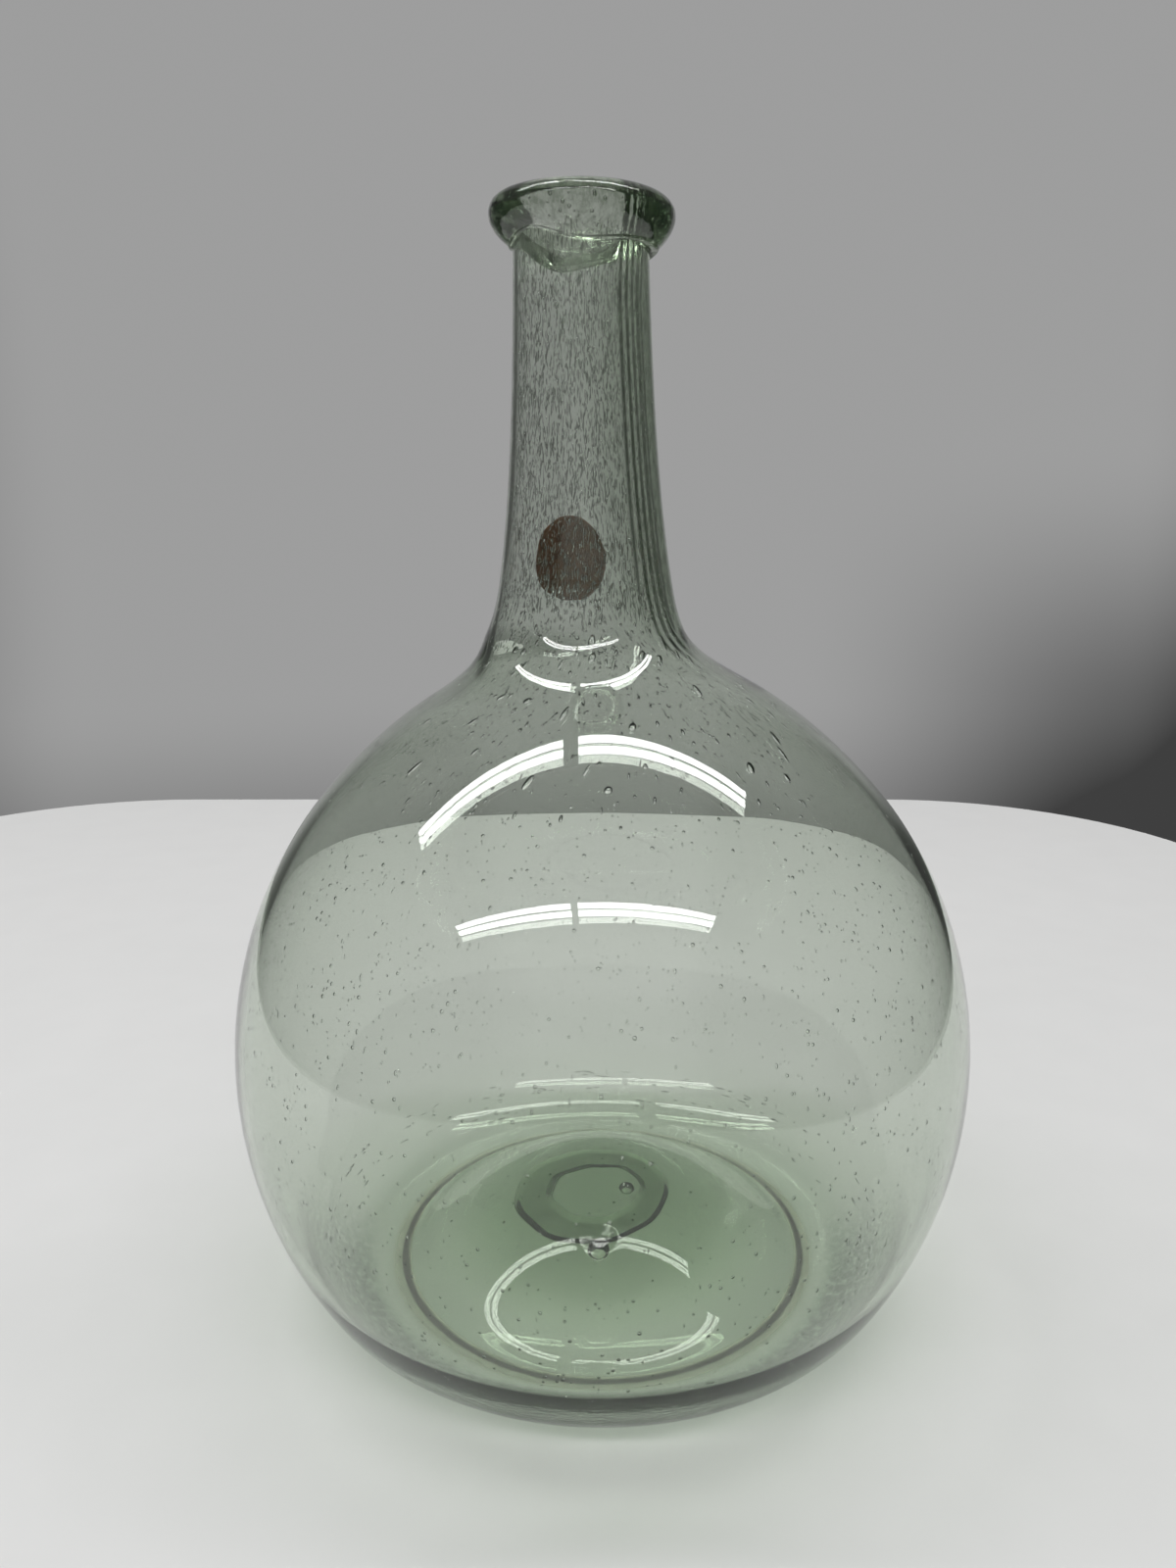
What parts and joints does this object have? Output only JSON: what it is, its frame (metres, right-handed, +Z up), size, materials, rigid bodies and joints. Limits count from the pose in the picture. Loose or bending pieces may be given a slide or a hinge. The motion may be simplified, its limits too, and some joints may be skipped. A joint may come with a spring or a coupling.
{
  "type": "globular glass bottle",
  "caption": "Free-blown pale green globular bottle with a long neck, laid-on lip ring, pushed-up base and a small oval sticker.",
  "frame": {"origin": "on the plane the bottle rests on, under the middle of the globe", "axes": "+Z up along the globe's axis, -Y towards the viewer of the picture, -X towards the side the neck leans to"},
  "size_m": [0.193, 0.193, 0.2789],
  "materials": {
    "pale_green_glass": "pale green seedy glass, fire polished",
    "lip_glass": "thicker pale green glass with bubbles and winding marks",
    "scar_glass": "broken green glass with sharp facets worn dull",
    "aged_paper": "aged brown paper, matt and mottled"
  },
  "bodies": {
    "root": {"bottle_body": "pale_green_glass", "applied_lip": "lip_glass", "pontil_scar": "scar_glass", "neck_sticker": "aged_paper"}
  },
  "joints": []
}
